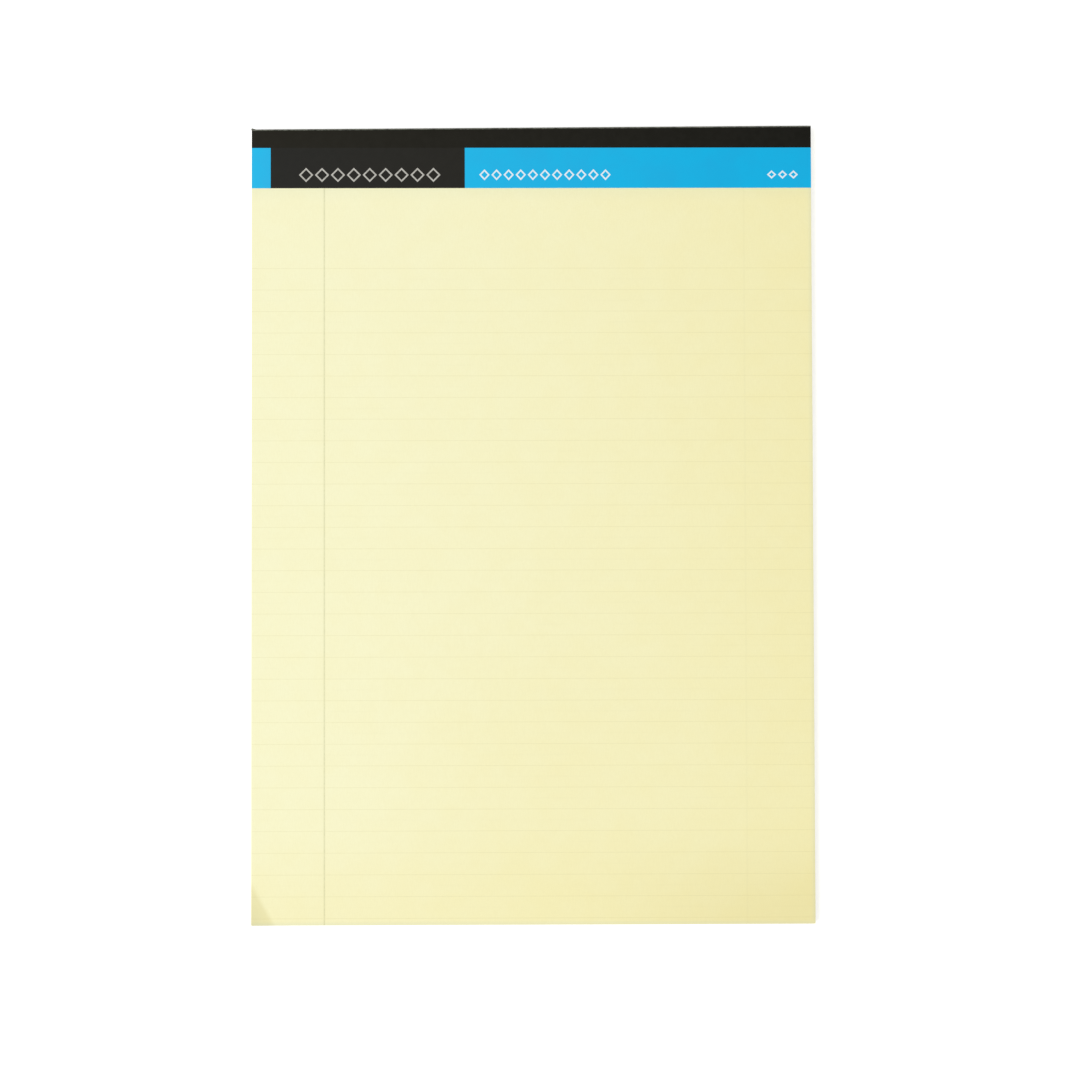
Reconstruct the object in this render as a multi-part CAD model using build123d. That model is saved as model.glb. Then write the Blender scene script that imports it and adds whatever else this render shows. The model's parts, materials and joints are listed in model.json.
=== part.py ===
from build123d import *
from math import cos, radians, sin
import os

# Head-bound pad of ruled leaves, lying on its back. Millimetres.
# The origin is the middle of the pad's footprint, on the surface that the pad lies on.
# +X points to the pad's right, +Y to its bound head, and +Z up out of the writing face.

# Outline. The head was trimmed out of square, so the left side is a little shorter than the
# right side, whose length this is, from the foot to the outside of the strip's fold.
pad_width = 210.0
pad_length = 299.0
head_out_of_square = 1.3

# Leaves and board.
sheet_count = 50
sheet_thickness = 0.095
board_thickness = 0.9

# Head strip: one piece of printed paper, folded over the head. Its flaps end square to the
# sides in front and askew behind, as a straight strip does on a head that isn't square.
# The press sinks each flap a little into the leaves or the board.
strip_thickness = 0.2
strip_sunk = 0.05
front_flap = 23.6
back_flap = 15.0
fold_radius = 0.5

# Wire stitches: a crown pressed into the leaves, two legs, and points clinched into the board.
# The wire is slightly flattened, as stitching wire is.
wire_width = 0.65
wire_thickness = 0.45
wire_clearance = 0.02
wire_bend_radius = 0.6
stitch_crown = 12.0
clinch_length = 4.5
stitch_from_head = 11.0
stitch_spacing = 110.0

# Perforation: a row of short slits through every leaf, just under the front flap's edge.
slits_above_flap_edge = 0.8
slit_length = 0.9
slit_width = 0.15
slit_pitch = 1.3
unslit_side = 1.5

# Turned-up corner at the foot, on the left: the ends of its crease, and how it rises.
crease_up_side = 14.5
crease_along_foot = 7.0
turned_sheets = 3
turn_start_angle = 14.0
turn_radius = 22.0

# Printing. Each ink is a thin film on what it is printed on.
ink_thickness = 0.02
blue_band_depth = 15.2
blue_block_width = 7.1
black_panel_width = 72.8
margin_from_left = 27.0
margin_rule_width = 0.35
rule_width = 0.25
rule_pitch = 8.09
first_rule_below_flap = 30.2
least_foot_margin = 1.0

# Chains of open lozenges, printed in a row: a grey one across the black panel, and two white
# ones on the blue field, a long one at its left end and a short one at its right end.
chain_above_flap_edge = 5.0
lozenge_stroke = 0.55
lozenge_gap = 0.6
grey_lozenge_count = 9
grey_lozenge_height = 5.4
grey_chain_inset_left = 10.3
grey_chain_inset_right = 8.8
long_white_lozenge_count = 11
long_white_lozenge_height = 4.2
long_white_chain_inset = 5.1
long_white_chain_length = 50.0
short_white_lozenge_count = 3
short_white_lozenge_height = 3.2
short_white_chain_inset = 4.6
short_white_chain_length = 12.3

# Places across and along the pad. The head's y are those at the pad's two sides, and the
# leaves' head is taken at the left side, where the sections are drawn.
left_x = -pad_width / 2
right_x = pad_width / 2
foot_y = -pad_length / 2
head_right_y = pad_length / 2
head_left_y = head_right_y - head_out_of_square
leaf_head_y = head_left_y - strip_thickness
flap_edge_y = head_right_y - front_flap

# Lines that cross the pad, as their y at its left side and at its right side. Sections are
# drawn past the foot and trimmed there.
back_flap_y = head_right_y - back_flap
flap_line = (flap_edge_y, flap_edge_y)
back_line = (back_flap_y - 2 * head_out_of_square, back_flap_y)
foot_line = (foot_y, foot_y)
past_foot = 1.05 * foot_y
past_foot_line = (past_foot, past_foot)

# Heights, from the surface up. The board and the leaves each have a seat that a flap sinks into.
board_seat_z = strip_thickness
board_bottom_z = board_seat_z - strip_sunk
board_top_z = board_bottom_z + board_thickness
page_top_z = board_top_z + sheet_count * sheet_thickness
page_seat_z = page_top_z - strip_sunk
strip_top_z = page_seat_z + strip_thickness


def along_head(corners, rounded):
    """Draw a (y, z) section at the left side, round some corners, and run it along the head."""
    section = make_face(Polyline(*corners, close=True))
    for corner, radius in rounded.items():
        nearest = section.vertices().sort_by_distance((*corner, 0))[0]
        section = fillet(nearest, radius)
    direction = Vector(pad_width, head_out_of_square, 0)
    return extrude(Plane.YZ.offset(left_x) * section, direction.length, dir=direction.normalized())


def between(near_line, far_line, bottom_z, top_z):
    """All that lies between two of the lines that cross the pad, from one height to another."""
    near_side = [(left_x, near_line[0]), (right_x, near_line[1])]
    far_side = [(right_x, far_line[1]), (left_x, far_line[0])]
    plan = make_face(Polyline(*near_side, *far_side, close=True))
    return Pos(0, 0, bottom_z) * extrude(plan, top_z - bottom_z)


def slab(bottom_z, top_z, rounded):
    """A slab with the pad's outline: out of square at the head and square at the foot."""
    corners = [(past_foot, bottom_z), (leaf_head_y, bottom_z), (leaf_head_y, top_z), (past_foot, top_z)]
    return along_head(corners, rounded) - between(past_foot_line, foot_line, bottom_z, top_z)


def printed(from_left, to, bottom_y, top_y, surface_z):
    """A printed rectangle on the surface at this height."""
    size = (to - from_left, top_y - bottom_y, ink_thickness)
    return Pos(left_x + from_left, bottom_y, surface_z) * Box(*size, align=Align.MIN)


# The corner that turns up. Its section is drawn square to the crease: how far past the crease,
# and how high. In plan the corner draws back a little as it rises.
crease_start = Vector(left_x, foot_y + crease_up_side)
crease_end = Vector(left_x + crease_along_foot, foot_y)
crease_length = (crease_end - crease_start).length
to_corner = (crease_end - crease_start).normalized().cross(Vector(0, 0, 1))
flat_corner = Vector(left_x, foot_y)
corner_reach = (flat_corner - crease_start).dot(to_corner)
across_crease = Plane(crease_start, x_dir=to_corner, z_dir=to_corner.cross(Vector(0, 0, 1)))
turned_thickness = turned_sheets * sheet_thickness


def on_turn(reach, bottom_z):
    """Where a leaf at this height is, this far past the crease along the leaf."""
    start = radians(turn_start_angle)
    angle = start + reach / turn_radius
    away = turn_radius * (sin(angle) - sin(start))
    rise = turn_radius * (cos(start) - cos(angle))
    return away, bottom_z + rise


def turned_up(bottom_z, thickness):
    """A layer of the turned-up corner, from the crease to its tip."""
    spare_reach = 1.2 * corner_reach
    reaches = (0, spare_reach / 2, spare_reach)
    under = ThreePointArc(*[on_turn(reach, bottom_z) for reach in reaches])
    over = ThreePointArc(*[on_turn(reach, bottom_z + thickness) for reach in reaches])
    section = make_face([under, over, Line(under @ 0, over @ 0), Line(under @ 1, over @ 1)])
    layer = extrude(across_crease * section, crease_length, both=True)
    tip_away, tip_z = on_turn(corner_reach, bottom_z + thickness)
    tip = flat_corner - to_corner * (corner_reach - tip_away)
    plan = make_face(Polyline(crease_start, crease_end, tip, close=True))
    return layer & extrude(plan, tip_z)


def past_crease(bottom_z):
    """All that lies past the crease, above this height."""
    size = (2 * corner_reach, page_top_z, 2 * crease_length)
    align = (Align.MIN, Align.MIN, Align.CENTER)
    return across_crease * Pos(0, bottom_z, 0) * Box(*size, align=align)


# Wire stitches and the channels that they lie in.
channel_depth = wire_thickness + 2 * wire_clearance
channel_width = wire_width + 2 * wire_clearance
crown_z = page_seat_z - channel_depth / 2
clinch_z = board_seat_z + channel_depth / 2
stitch_y = head_left_y - stitch_from_head
leg_offset = stitch_crown / 2
point_offset = leg_offset - clinch_length


def stitch_shape(x, width, thickness):
    """Flattened wire of this section, bent into a stitch whose crown is centred at x."""
    left_half = [(-point_offset, clinch_z), (-leg_offset, clinch_z), (-leg_offset, crown_z)]
    right_half = [(leg_offset, crown_z), (leg_offset, clinch_z), (point_offset, clinch_z)]
    bends = [(x + offset, stitch_y, z) for offset, z in left_half + right_half]
    line = FilletPolyline(*bends, radius=wire_bend_radius)
    section = Plane(line @ 0, x_dir=(0, 1, 0), z_dir=line % 0) * Rectangle(width, thickness)
    return sweep(section, path=line)


def stitch_channel(x):
    """Where a stitch lies: its holes, open above the crown and below each clinched point."""
    half_depth = channel_depth / 2
    crown = Box(stitch_crown + channel_depth, channel_width, half_depth)
    point = Box(clinch_length + half_depth, channel_width, half_depth)
    point_middle = (leg_offset + half_depth + point_offset) / 2
    channel = stitch_shape(x, channel_width, channel_depth)
    channel += Pos(x, stitch_y, crown_z + half_depth / 2) * crown
    for middle_x in (x - point_middle, x + point_middle):
        channel += Pos(middle_x, stitch_y, clinch_z - half_depth / 2) * point
    return channel


stitch_places = {"left": -stitch_spacing / 2, "right": stitch_spacing / 2}
channels = [stitch_channel(x) for x in stitch_places.values()]


def page_block():
    """The leaves: stitched and perforated at the head, with one corner turned up at the foot."""
    block = slab(board_top_z, page_seat_z, {(leaf_head_y, page_seat_z): fold_radius})
    block += between(foot_line, flap_line, page_seat_z, page_top_z)
    block -= past_crease(page_top_z - turned_thickness)
    block += turned_up(page_top_z - turned_thickness, turned_thickness)
    slit = Box(slit_length, slit_width, 2 * page_top_z)
    slit_count = int((pad_width - 2 * unslit_side) / slit_pitch)
    row = Pos(0, flap_edge_y + slits_above_flap_edge) * GridLocations(slit_pitch, 0, slit_count, 1)
    return block - channels - [place * slit for place in row]


def backing_board():
    """The board behind the leaves, with the channels that the stitches are clinched in."""
    board = slab(board_seat_z, board_top_z, {(leaf_head_y, board_seat_z): fold_radius})
    return board + between(foot_line, back_line, board_bottom_z, board_seat_z) - channels


def head_tape():
    """The strip folded over the head, with its two flaps trimmed to their depths."""
    outside = [(past_foot, strip_top_z), (head_left_y, strip_top_z), (head_left_y, 0), (past_foot, 0)]
    inside = [
        (past_foot, board_seat_z),
        (leaf_head_y, board_seat_z),
        (leaf_head_y, page_seat_z),
        (past_foot, page_seat_z),
    ]
    rounded = {corner: fold_radius + strip_thickness for corner in outside[1:3]}
    rounded |= {corner: fold_radius for corner in inside[1:3]}
    strip = along_head(outside + inside, rounded)
    strip -= between(past_foot_line, flap_line, page_seat_z, strip_top_z)
    strip -= between(past_foot_line, back_line, 0, board_seat_z)
    return strip


def feint_rule(y):
    """One rule across the page, broken at the margin rule, and run up the turned-up corner."""
    rule = printed(0, pad_width, y - rule_width / 2, y + rule_width / 2, page_top_z) - margin_rule()
    if y - rule_width / 2 > crease_start.Y:
        return rule
    band = Pos(0, y, page_top_z) * Box(pad_width, rule_width, 2 * turn_radius)
    return rule - past_crease(page_top_z) + (turned_up(page_top_z, ink_thickness) & band)


def feint_rules():
    """As many rules as the page holds, from the first one down to the foot's margin."""
    first_y = flap_edge_y - first_rule_below_flap
    rule_count = int((first_y - foot_y - least_foot_margin) / rule_pitch) + 1
    return Compound([feint_rule(first_y - i * rule_pitch) for i in range(rule_count)])


def margin_rule():
    """The margin rule, from the strip to the foot."""
    to = margin_from_left + margin_rule_width
    return printed(margin_from_left, to, foot_y, flap_edge_y, page_top_z)


def blue_print(from_left, to):
    """A blue field, from the front flap's edge up to the black."""
    return printed(from_left, to, flap_edge_y, flap_edge_y + blue_band_depth, strip_top_z)


def lozenge_chain(from_left, to, count, height, surface_z):
    """A chain of open lozenges on the front flap, at this height."""
    pitch = (to - from_left) / count
    half_width = (pitch - lozenge_gap) / 2
    corners = [(-half_width, 0), (0, -height / 2), (half_width, 0), (0, height / 2)]
    outer = make_face(Polyline(*corners, close=True))
    link = extrude(outer - offset(outer, -lozenge_stroke), ink_thickness)
    middle = Pos(left_x + (from_left + to) / 2, flap_edge_y + chain_above_flap_edge, surface_z)
    return [middle * place * link for place in GridLocations(pitch, 0, count, 1)]


black_panel_end = blue_block_width + black_panel_width
blue_top_z = strip_top_z + ink_thickness


def grey_ornament():
    """The grey chain, on the black panel."""
    from_left = blue_block_width + grey_chain_inset_left
    to = black_panel_end - grey_chain_inset_right
    return Compound(lozenge_chain(from_left, to, grey_lozenge_count, grey_lozenge_height, strip_top_z))


def white_ornament():
    """The two white chains, on the blue field."""
    from_left = black_panel_end + long_white_chain_inset
    to = from_left + long_white_chain_length
    links = lozenge_chain(from_left, to, long_white_lozenge_count, long_white_lozenge_height, blue_top_z)
    to = pad_width - short_white_chain_inset
    from_left = to - short_white_chain_length
    links += lozenge_chain(from_left, to, short_white_lozenge_count, short_white_lozenge_height, blue_top_z)
    return Compound(links)


parts = {
    "page_block": page_block(),
    "backing_board": backing_board(),
    "head_tape": head_tape(),
    "feint_rules": feint_rules(),
    "margin_rule": margin_rule(),
    "blue_print_left": blue_print(0, blue_block_width),
    "blue_print_right": blue_print(black_panel_end, pad_width),
    "grey_ornament": grey_ornament(),
    "white_ornament": white_ornament(),
}
for side, x in stitch_places.items():
    parts[f"wire_stitch_{side}"] = stitch_shape(x, wire_width, wire_thickness)

os.makedirs("parts", exist_ok=True)
for name, part in parts.items():
    export_step(part, f"parts/{name}.step")
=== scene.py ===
# %% [markdown]
# # A yellow ruled pad, from bare paper to a finished picture
# The object is a head-bound writing pad: fifty leaves of yellow ruled paper on a grey board, stitched
# at the head under one printed strip. It has lain about a little, so one corner at the foot turns up.
# The pieces of its construction are loaded first, as a fixed frame in metres. They give most places
# and sizes here, so little in this file has to be fitted by eye.

# %% Load the frame
import json
import math
import random

import bmesh
import bpy
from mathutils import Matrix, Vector

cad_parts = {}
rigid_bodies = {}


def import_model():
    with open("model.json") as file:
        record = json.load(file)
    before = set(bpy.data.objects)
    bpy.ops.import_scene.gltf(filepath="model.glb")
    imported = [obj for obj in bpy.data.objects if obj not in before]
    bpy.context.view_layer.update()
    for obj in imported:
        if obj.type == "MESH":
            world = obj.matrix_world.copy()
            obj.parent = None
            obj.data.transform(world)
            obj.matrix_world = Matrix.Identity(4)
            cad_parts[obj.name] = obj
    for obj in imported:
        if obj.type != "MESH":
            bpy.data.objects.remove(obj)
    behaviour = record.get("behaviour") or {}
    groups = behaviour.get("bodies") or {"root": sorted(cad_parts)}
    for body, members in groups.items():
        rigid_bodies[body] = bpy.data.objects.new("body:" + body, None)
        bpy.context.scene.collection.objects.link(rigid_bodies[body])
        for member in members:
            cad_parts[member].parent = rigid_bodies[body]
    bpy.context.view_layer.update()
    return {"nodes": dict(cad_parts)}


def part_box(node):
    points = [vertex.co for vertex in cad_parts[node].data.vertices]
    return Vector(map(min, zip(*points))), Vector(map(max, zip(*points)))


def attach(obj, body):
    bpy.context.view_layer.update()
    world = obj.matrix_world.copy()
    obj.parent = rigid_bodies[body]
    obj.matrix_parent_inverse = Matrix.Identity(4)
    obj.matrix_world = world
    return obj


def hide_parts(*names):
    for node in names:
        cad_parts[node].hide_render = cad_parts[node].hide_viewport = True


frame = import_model()
print("nodes:", ", ".join(sorted(frame["nodes"])))

# %% [markdown]
# ## Sizes that every step shares
# Most places are read off the frame: the outline from the leaves, the heights from the board, the
# strip and the printing. What a box can't tell, such as a leaf's thickness or a fold's radius, is
# written here once as a real size. Two places nearer than a hundredth of a millimetre count as one.

# %% Places and sizes
MM = 0.001
near = 0.01 * MM

leaves_low, leaves_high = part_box("page_block")
rules_low, rules_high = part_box("feint_rules")
margin_low, margin_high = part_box("margin_rule")
blue_low, blue_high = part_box("blue_print_left")
board_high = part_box("backing_board")[1]
strip_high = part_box("head_tape")[1]

left, right = leaves_low.x, leaves_high.x
foot, flap_edge, head_right = leaves_low.y, blue_low.y, strip_high.y
strip_points = [point.co for point in frame["nodes"]["head_tape"].data.vertices]
head_left = max(place.y for place in strip_points if place.x < left + near)
skew = head_right - head_left
page_top, board_top, strip_top = margin_low.z, board_high.z, strip_high.z

leaf_count = 50
leaf_pitch = (page_top - board_top) / leaf_count
paper_share = 0.92
leaf_thickness = paper_share * leaf_pitch
strip_thickness = 0.2 * MM
fold_radius = 0.5 * MM
ink_thickness = 0.02 * MM


def in_mm(length):
    """A length as text, in millimetres."""
    return f"{length / MM:.3f} mm"


print("outline", in_mm(right - left), "by", in_mm(head_right - foot), "with a skew of", in_mm(skew))
print(leaf_count, "leaves at", in_mm(leaf_pitch), "each, page top at", in_mm(page_top))

# %% [markdown]
# ## A few hand tools
# Modelling by hand means opening a piece in edit mode, picking vertices or faces, and using a tool on
# what is picked. A script picks by place instead of by mouse. Everything is let go first, because a
# tool works on all that is selected, also on what an earlier step left selected.

# %% Open, pick and cut
def take(piece):
    """Select one piece, and nothing else."""
    bpy.ops.object.select_all(action="DESELECT")
    bpy.context.view_layer.objects.active = piece
    piece.select_set(True)


def open_for_editing(piece):
    """Open one piece in edit mode, with none of it picked."""
    take(piece)
    bpy.ops.object.mode_set(mode="EDIT")
    bpy.ops.mesh.select_all(action="DESELECT")


def close():
    """Leave edit mode."""
    bpy.ops.object.mode_set(mode="OBJECT")


def pick(piece, kind, wanted):
    """In edit mode, pick each vertex, edge or face that is wanted, and no other. Return how many."""
    bpy.ops.mesh.select_mode(type={"verts": "VERT", "edges": "EDGE", "faces": "FACE"}[kind])
    bpy.ops.mesh.select_all(action="DESELECT")
    mesh = bmesh.from_edit_mesh(piece.data)
    found = [part for part in getattr(mesh, kind) if wanted(part)]
    for part in found:
        part.select_set(True)
    bmesh.update_edit_mesh(piece.data)
    return len(found)


def cut(place, direction):
    """Cut edges right through the piece, on the plane at this place that faces this direction."""
    bpy.ops.mesh.select_all(action="SELECT")
    bpy.ops.mesh.bisect(plane_co=place, plane_no=direction)


# %% Place, copy and join
def apply_place(piece):
    """Move a piece's place and size into its mesh, so that its object is back at the origin."""
    take(piece)
    bpy.ops.object.transform_apply(location=True, rotation=True, scale=True)


def copy_of(piece, name):
    """A copy of a piece, with a mesh of its own."""
    made = piece.copy()
    made.data = piece.data.copy()
    made.name = name
    bpy.context.scene.collection.objects.link(made)
    return made


def joined(pieces, name):
    """Several pieces made into one."""
    bpy.ops.object.select_all(action="DESELECT")
    for piece in pieces:
        piece.select_set(True)
    bpy.context.view_layer.objects.active = pieces[0]
    bpy.ops.object.join()
    pieces[0].name = name
    return pieces[0]


# %% [markdown]
# ## How to build a finish
# A finish is a small tree of nodes around one shader. Colours are easiest to take from a picture, as
# numbers from 0 to 255, but shaders count light, so such a colour is made linear first. Patterns are
# placed by the object's own coordinates in metres: a noise with a scale of 1000 has grains of about a
# millimetre. That keeps paper fibres at their real size on every piece.

# %% A finish and its nodes
def seen(red, green, blue):
    """The linear colour of a colour that is seen as these numbers from 0 to 255."""
    shares = [level / 255 for level in (red, green, blue)]
    return [s / 12.92 if s <= 0.04045 else ((s + 0.055) / 1.055) ** 2.4 for s in shares] + [1.0]


def new_finish(name, colour, roughness, shine):
    """A finish with one shader, and an even colour until a pattern is linked in."""
    finish = bpy.data.materials.new(name)
    finish.use_nodes = True
    shader = finish.node_tree.nodes["Principled BSDF"]
    shader.inputs["Base Color"].default_value = colour
    shader.inputs["Roughness"].default_value = roughness
    shader.inputs["Specular IOR Level"].default_value = shine
    return finish


def add(finish, kind, sockets=None, **settings):
    """Add a node with these settings. A socket takes a number, a colour or another node's output."""
    made = finish.node_tree.nodes.new(kind)
    for name, value in settings.items():
        setattr(made, name, value)
    for name, value in (sockets or {}).items():
        if isinstance(value, bpy.types.NodeSocket):
            finish.node_tree.links.new(value, made.inputs[name])
        else:
            made.inputs[name].default_value = value
    return made


def feed(finish, socket, output):
    """Link an output to one of the shader's sockets."""
    shader = finish.node_tree.nodes["Principled BSDF"]
    finish.node_tree.links.new(output, shader.inputs[socket])


# %% Places and patterns
def coordinates(finish, turned=0.0, moved=(0, 0, 0), stretched=(1, 1, 1)):
    """The object's own coordinates, stretched, turned about the upright and then moved."""
    source = add(finish, "ShaderNodeTexCoord").outputs["Object"]
    sockets = {"Vector": source, "Location": moved, "Rotation": (0, 0, turned), "Scale": stretched}
    return add(finish, "ShaderNodeMapping", sockets).outputs["Vector"]


def along(finish, axis, where=None):
    """How far each place on the surface lies along X, Y or Z."""
    place = coordinates(finish) if where is None else where
    return add(finish, "ShaderNodeSeparateXYZ", {0: place}).outputs[axis]


def grain(finish, where, scale, detail=3.0, roughness=0.55):
    """A noise from 0 to 1, at this many grains a metre."""
    sockets = {"Vector": where, "Scale": scale, "Detail": detail, "Roughness": roughness}
    return add(finish, "ShaderNodeTexNoise", sockets).outputs["Fac"]


def ramp(finish, value, start, end, low=0.0, high=1.0, smooth=True):
    """Carry a value from one range to another, and hold it at the ends."""
    sockets = {"Value": value, "From Min": start, "From Max": end, "To Min": low, "To Max": high}
    way = "SMOOTHSTEP" if smooth else "LINEAR"
    return add(finish, "ShaderNodeMapRange", sockets, interpolation_type=way).outputs["Result"]


# %% Arithmetic
def sums(finish, operation, first, second=0.0, third=0.0):
    """One step of arithmetic on values."""
    made = add(finish, "ShaderNodeMath", {0: first, 1: second, 2: third}, operation=operation)
    return made.outputs["Value"]


def total(finish, *values):
    """Several values added up."""
    result = values[0]
    for value in values[1:]:
        result = sums(finish, "ADD", result, value)
    return result


def gap(finish, first, second):
    """How far apart two values are."""
    return sums(finish, "ABSOLUTE", sums(finish, "SUBTRACT", first, second))


def vectors(finish, operation, first, second, output="Value"):
    """One step of arithmetic on vectors."""
    made = add(finish, "ShaderNodeVectorMath", {0: first, 1: second}, operation=operation)
    return made.outputs[output]


# %% Colour and relief
def blend(finish, share, first, second):
    """Blend two colours by a share from 0 to 1."""
    made = add(finish, "ShaderNodeMix", data_type="RGBA")
    links = finish.node_tree.links
    for socket, value in ((made.inputs[0], share), (made.inputs[6], first), (made.inputs[7], second)):
        if isinstance(value, bpy.types.NodeSocket):
            links.new(value, socket)
        else:
            socket.default_value = value
    return made.outputs[2]


def relief(finish, height, depth, strength):
    """Let a value stand for relief this deep in metres, where the light catches it."""
    sockets = {"Height": height, "Distance": depth, "Strength": strength}
    feed(finish, "Normal", add(finish, "ShaderNodeBump", sockets).outputs["Normal"])


def describe(finish):
    """Print how many nodes a finish has."""
    print(finish.name, "has", len(finish.node_tree.nodes), "nodes")


# %% [markdown]
# ## The paper's finish
# Writing paper is matt and nearly even. Up close it is a felt of short fibres, which gives a fine
# grain, and held to the light it is cloudy, because the pulp settles unevenly on the wire. Both are
# noises: a long narrow one for the fibres, laid in two directions, and a large soft one for the clouds.
# The colour isn't even over the page either. Painted shade deepens the yellow towards the right and the
# foot, and in one broad patch low on the page, so two yellows are blended by place. The corner that
# turns up gets the most painted shade, and painted shade darkens the corner beside it a little. The
# last millimetre at the right and the foot, and the page along the strip, are greyed with painted
# shade.

# %% Where the rules are
rule_width = 0.25 * MM
rule_count = 31
first_rule = rules_high.y - rule_width / 2
rule_pitch = (rules_high.y - rules_low.y - rule_width) / (rule_count - 1)
rule_places = [first_rule - i * rule_pitch for i in range(rule_count)]
print(rule_count, "rules,", in_mm(rule_pitch), "apart, the last", in_mm(rule_places[-1] - foot), "up")

# %% Where the corner creases
crease_up_side, crease_along_foot = 16.0 * MM, 8.8 * MM
crease_start = Vector((left, foot + crease_up_side, page_top))
crease_end = Vector((left + crease_along_foot, foot, page_top))
crease = (crease_end - crease_start).normalized()
upwards = Vector((0, 0, 1))
to_corner = crease.cross(upwards)
print("crease", in_mm((crease_end - crease_start).length), "long")

# %% Where painted shade deepens the yellow
pale_yellow = seen(249, 247, 207)
deep_and_shaded_yellow = seen(245, 234, 168)
# Painted shade: these shares deepen the yellow towards the right, the foot, a patch and the turned-up
# corner.
deeper_at_left, shade_to_right, shade_at_foot = 0.06, 0.56, 0.26
shade_in_patch, shade_on_corner = 0.12, 0.4
late_rise = 1.6
foot_reach = 45 * MM
patch_middle = Vector((-4 * MM, foot + 50 * MM, page_top))
patch_core, patch_reach = 10 * MM, 70 * MM
cloud_size, cloudiness = 9.0 * MM, 0.05
corner_shade_starts, corner_shade_full = -0.8 * MM, 1.6 * MM


def corner_shade(finish):
    """How much painted shade the turned-up corner gets, from just before its crease."""
    from_start = vectors(finish, "SUBTRACT", coordinates(finish), crease_start, "Vector")
    past_crease = vectors(finish, "DOT_PRODUCT", from_start, to_corner)
    return ramp(finish, past_crease, corner_shade_starts, corner_shade_full, 0.0, shade_on_corner)


def deepened_and_shaded(finish):
    """How far the pale yellow goes to the deep one, from 0 to 1: painted shade, and the pulp's clouds.
    """
    across = ramp(finish, along(finish, "X"), left, right, smooth=False)
    late = sums(finish, "POWER", across, late_rise)
    # Painted shade towards the right, the foot, in the patch and on the corner; the clouds are the
    # pulp's own.
    to_right = sums(finish, "MULTIPLY_ADD", late, shade_to_right, deeper_at_left)
    to_foot = ramp(finish, along(finish, "Y"), foot + foot_reach, foot, 0.0, shade_at_foot)
    from_patch = vectors(finish, "DISTANCE", coordinates(finish), patch_middle)
    patch = ramp(finish, from_patch, patch_core, patch_reach, shade_in_patch, 0.0)
    pulp = grain(finish, coordinates(finish), 1 / cloud_size)
    clouds = ramp(finish, pulp, 0.25, 0.75, -cloudiness, cloudiness)
    return total(finish, to_right, to_foot, patch, clouds, corner_shade(finish))


# %% Where painted shade darkens and greys the page
# Painted shade: the page darkens towards its right corner at the foot.
foot_corner_shade_colour = seen(200, 186, 142)
# Painted shade in grey, along the right and foot edges, on the turned-up corner and along the strip.
shade_grey = seen(204, 214, 194)
foot_corner_shade_reach, most_foot_corner_shade = 40 * MM, 0.13
edge_shade_core, edge_shade_reach, most_edge_shade = 0.3 * MM, 1.8 * MM, 0.2
strip_shade_reach, most_strip_shade = 6 * MM, 0.11
corner_shade_grey = 0.3


def foot_corner_shade(finish):
    """How much painted shade darkens the paper towards its right corner at the foot."""
    near_foot = ramp(finish, along(finish, "Y"), foot + foot_corner_shade_reach, foot, 0.0, most_foot_corner_shade)
    return sums(finish, "MULTIPLY", near_foot, ramp(finish, along(finish, "X"), 0.0, right))


def greyed_by_shade(finish):
    """How much painted shade greys the right and foot edges, the turned-up corner and the page by the
    strip.
    """
    from_right = sums(finish, "SUBTRACT", right, along(finish, "X"))
    from_foot = sums(finish, "SUBTRACT", along(finish, "Y"), foot)
    from_edge = sums(finish, "MINIMUM", from_right, from_foot)
    # Painted shade along the right and foot edges, and along the strip's edge.
    edge_shade = ramp(finish, from_edge, edge_shade_core, edge_shade_reach, most_edge_shade, 0.0)
    strip_shade = ramp(finish, along(finish, "Y"), flap_edge - strip_shade_reach, flap_edge, 0.0, most_strip_shade)
    return sums(finish, "MULTIPLY_ADD", corner_shade(finish), corner_shade_grey, total(finish, edge_shade, strip_shade))


def paper_colour(finish):
    """The paper's colour at every place, with its painted shade, before its fibres and any ink."""
    # The deep yellow, the darker corner and the grey here are painted shade, apart from the pulp's
    # clouds.
    yellow = blend(finish, deepened_and_shaded(finish), pale_yellow, deep_and_shaded_yellow)
    with_foot_shade = blend(finish, foot_corner_shade(finish), yellow, foot_corner_shade_colour)
    return blend(finish, greyed_by_shade(finish), with_foot_shade, shade_grey)


# %% Fibres
fibre_size = 0.45 * MM
fibre_relief, fibre_strength = 0.02 * MM, 0.25


def fibres(finish):
    """Short fibres, laid mostly along the leaf and some across it."""
    lengthwise = coordinates(finish, turned=0.35, stretched=(1, 0.2, 1))
    crosswise = coordinates(finish, turned=-0.5, stretched=(0.25, 1, 1))
    most = grain(finish, lengthwise, 1 / fibre_size, detail=2.0)
    some = grain(finish, crosswise, 1 / fibre_size, detail=2.0)
    return sums(finish, "MULTIPLY_ADD", some, 0.5, most)


# %% [markdown]
# Ink shows in the paper as well. The reverse of the leaf is ruled, half a pitch off the front, and its
# rules come through very faintly where the paper is thin, and its margin a little more. The front's
# margin has crept into the paper beside it, which makes that line soft.

# %% Ink in the paper
ink_in_paper = seen(120, 120, 80)
reverse_strength, feather_strength = 0.026, 0.06
thin_place_size = 26 * MM
line_core, rule_reach, margin_reach = 0.1 * MM, 0.5 * MM, 0.6 * MM
feather_core, feather_reach = 0.15 * MM, 0.75 * MM
reverse_shift = 1.6 * MM
reverse_margin = right - (margin_low.x - left) + reverse_shift
margin_middle = (margin_low.x + margin_high.x) / 2
print("reverse's margin", in_mm(right - reverse_margin), "from the right")


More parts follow.
